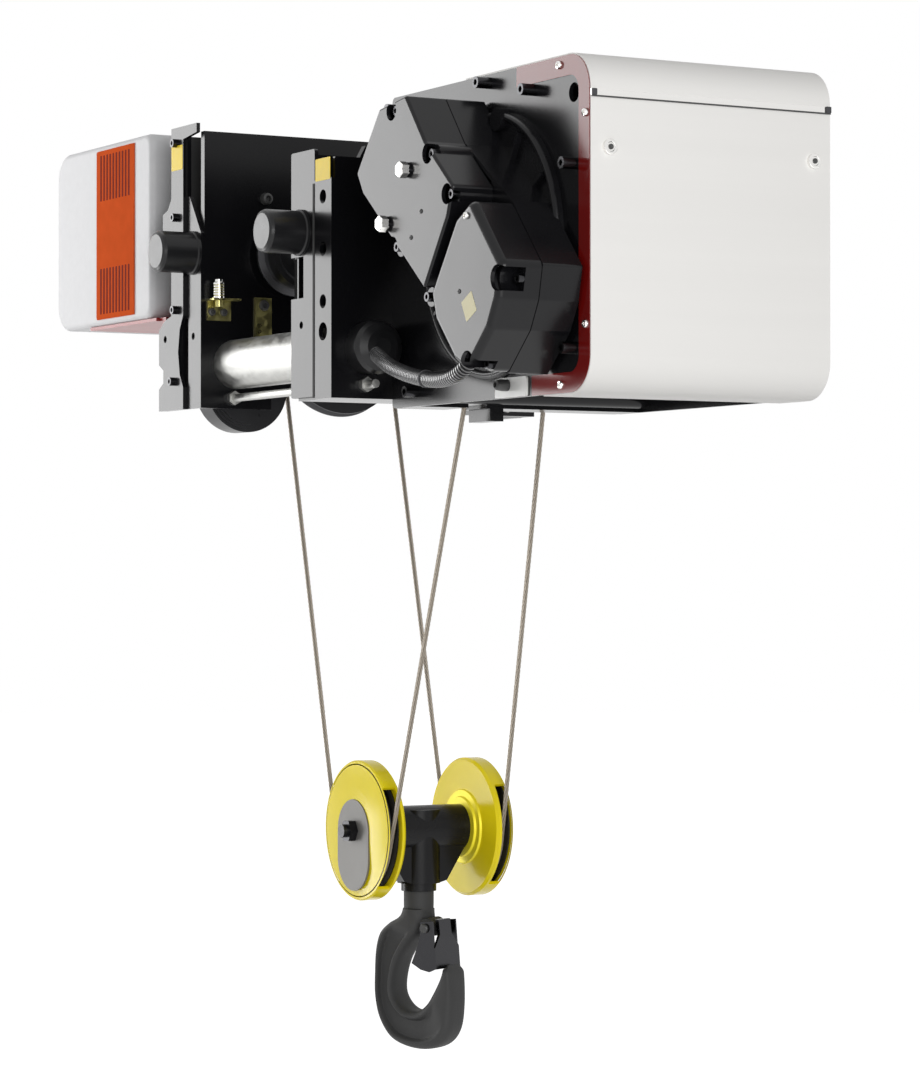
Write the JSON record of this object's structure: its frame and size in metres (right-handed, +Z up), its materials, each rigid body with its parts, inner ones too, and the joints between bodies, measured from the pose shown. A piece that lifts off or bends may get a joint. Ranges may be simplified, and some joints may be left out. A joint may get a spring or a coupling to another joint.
{
  "type": "electric wire rope hoist",
  "caption": "Low-headroom electric wire rope hoist on a girder trolley, with rope drum, gear unit, control box, two-sheave hook block and swivelling hook.",
  "frame": {"origin": "middle of the girder, on the running surface of its bottom flange", "axes": "+X across the girder towards the rope drum, +Y along the girder away from the gear unit, +Z up"},
  "size_m": [1.528, 0.718, 1.4174],
  "materials": {
    "frame_black": "semi-gloss black paint on pressed steel",
    "cover_aluminium": "satin natural anodised sheet",
    "seam_metal": "bright rolled strip",
    "edge_red": "gloss red edging",
    "gear_black": "gloss black paint on castings",
    "housing_black": "black painted casting",
    "steel_machined": "machined and oiled",
    "motor_grey": "dark grey paint",
    "fastener_black": "black oxide steel",
    "galvanised": "zinc plated",
    "rubber_black": "moulded rubber",
    "plastic_black": "moulded plastic",
    "box_silver": "silver paint",
    "band_orange": "orange-red moulding",
    "base_red": "red paint",
    "rope_steel": "greased laid steel wire rope",
    "wheel_iron": "turned cast iron",
    "sheave_iron": "dark turned iron",
    "block_yellow": "gloss yellow paint",
    "plate_grey": "matt grey plate",
    "hook_forged": "black painted forging",
    "zinc_yellow": "yellow passivated zinc"
  },
  "bodies": {
    "frame": {"end_plate_near": "frame_black", "end_plate_far": "frame_black", "edge_trim": "edge_red", "frame_rails": "frame_black", "drum_cover": "cover_aluminium", "cover_seam_strip": "seam_metal", "drum_housing_near": "housing_black", "drum_housing_far": "housing_black", "gear_case": "gear_black", "gear_cover": "gear_black", "brake_cover": "gear_black", "brake_coil": "motor_grey", "motor_stator": "motor_grey", "screws_and_plugs": "fastener_black", "rope_anchor": "galvanised", "mid_cheek": "frame_black", "mid_channel": "frame_black", "left_cheek": "frame_black", "cheek_strips": "frame_black", "buffers": "rubber_black", "cross_tubes": "galvanised", "tube_caps": "rubber_black", "tie_rods": "galvanised", "wheel_axles": "steel_machined", "return_bracket": "frame_black", "travel_gearbox": "gear_black", "travel_motor": "motor_grey", "limit_sensor": "zinc_yellow", "box_shell": "box_silver", "box_band": "band_orange", "box_base": "base_red", "conduit": "plastic_black", "rope_return_wrap": "rope_steel", "rope_fall_drum": "rope_steel", "rope_fall_near": "rope_steel", "rope_fall_far": "rope_steel", "rope_fall_anchor": "rope_steel"},
    "drum": {"drum_shell": "steel_machined", "drum_gear": "steel_machined", "rope_on_drum": "rope_steel"},
    "gear_shaft": {"gear_shaft": "steel_machined"},
    "motor_shaft": {"motor_shaft": "steel_machined"},
    "brake_disc": {"brake_disc": "steel_machined"},
    "rope_guide": {"rope_guide": "plastic_black"},
    "return_sheave": {"return_sheave": "sheave_iron"},
    "wheel_mid_near": {"wheel_mid_near": "wheel_iron"},
    "wheel_mid_far": {"wheel_mid_far": "wheel_iron"},
    "wheel_left_near": {"wheel_left_near": "wheel_iron"},
    "wheel_left_far": {"wheel_left_far": "wheel_iron"},
    "hook_block": {"crosshead": "housing_black", "block_axle": "fastener_black", "sheave_cover_near": "block_yellow", "sheave_cover_far": "block_yellow", "load_plate": "plate_grey", "rope_block_wraps": "rope_steel"},
    "hook_sheave_near": {"hook_sheave_near": "sheave_iron"},
    "hook_sheave_far": {"hook_sheave_far": "sheave_iron"},
    "hook": {"hook": "hook_forged", "hook_nut": "steel_machined"},
    "latch": {"latch": "fastener_black"}
  },
  "joints": [
    {"name": "drum_spin", "type": "hinge", "parent": "frame", "child": "drum", "pos_m": [0.572, 0, 0.008], "axis": [0, 1, 0], "range_deg": [0, 381.97]},
    {"name": "gear_shaft_spin", "type": "hinge", "parent": "frame", "child": "gear_shaft", "pos_m": [0.66716, 0, -0.03637], "axis": [0, 1, 0], "range_deg": [-1910.86, 0]},
    {"name": "motor_spin", "type": "hinge", "parent": "frame", "child": "motor_shaft", "pos_m": [0.59828, 0, -0.00426], "axis": [0, 1, 0], "range_deg": [0, 6154.99]},
    {"name": "brake_spin", "type": "hinge", "parent": "frame", "child": "brake_disc", "pos_m": [0.73597, 0, -0.08456], "axis": [0, 1, 0], "range_deg": [0, 4261.46]},
    {"name": "rope_guide_travel", "type": "slide", "parent": "frame", "child": "rope_guide", "axis": [0, 1, 0], "range_m": [0, 0.00975]},
    {"name": "hook_lift", "type": "slide", "parent": "frame", "child": "hook_block", "axis": [0, 0, 1], "range_m": [0, 0.3005], "deforming": ["rope_fall_drum", "rope_fall_near", "rope_fall_far", "rope_fall_anchor"]},
    {"name": "near_sheave_spin", "type": "hinge", "parent": "hook_block", "child": "hook_sheave_near", "pos_m": [0, -0.096, -0.826], "axis": [0, 1, 0], "range_deg": [-586.98, 0]},
    {"name": "far_sheave_spin", "type": "hinge", "parent": "hook_block", "child": "hook_sheave_far", "pos_m": [0, 0.096, -0.826], "axis": [0, 1, 0], "range_deg": [0, 196.33]},
    {"name": "return_sheave_spin", "type": "hinge", "parent": "frame", "child": "return_sheave", "pos_m": [-0.275, 0, -0.085], "axis": [0.9704, 0, 0.2414], "range_deg": [0, 359.1]},
    {"name": "hook_swivel", "type": "hinge", "parent": "hook_block", "child": "hook", "pos_m": [0, 0, -1.068], "axis": [0, 0, 1], "continuous": true},
    {"name": "latch_hinge", "type": "hinge", "parent": "hook", "child": "latch", "pos_m": [0.03081, 0.01437, -0.975], "axis": [-0.4226, 0.9063, 0], "range_deg": [0, 32], "stiffness_Nm_per_rad": 0.3, "springref_deg": -20.05},
    {"name": "wheel_mid_near_spin", "type": "hinge", "parent": "frame", "child": "wheel_mid_near", "pos_m": [0.121, -0.144, 0.054], "axis": [1, 0, 0], "continuous": true},
    {"name": "wheel_mid_far_spin", "type": "hinge", "parent": "frame", "child": "wheel_mid_far", "pos_m": [0.121, 0.144, 0.054], "axis": [1, 0, 0], "continuous": true},
    {"name": "wheel_left_near_spin", "type": "hinge", "parent": "frame", "child": "wheel_left_near", "pos_m": [-0.121, -0.144, 0.054], "axis": [1, 0, 0], "continuous": true},
    {"name": "wheel_left_far_spin", "type": "hinge", "parent": "frame", "child": "wheel_left_far", "pos_m": [-0.121, 0.144, 0.054], "axis": [1, 0, 0], "continuous": true}
  ],
  "couplings": [
    {"joint": "gear_shaft_spin", "follows": "drum_spin", "ratio": -5},
    {"joint": "motor_spin", "follows": "drum_spin", "ratio": 16.111},
    {"joint": "brake_spin", "follows": "drum_spin", "ratio": 11.154},
    {"joint": "rope_guide_travel", "follows": "drum_spin", "m_per_rad": 0.0014324},
    {"joint": "hook_lift", "follows": "drum_spin", "m_per_rad": 0.045},
    {"joint": "near_sheave_spin", "follows": "drum_spin", "ratio": -1.5341},
    {"joint": "far_sheave_spin", "follows": "drum_spin", "ratio": 0.51136},
    {"joint": "return_sheave_spin", "follows": "drum_spin", "ratio": 0.9375}
  ]
}
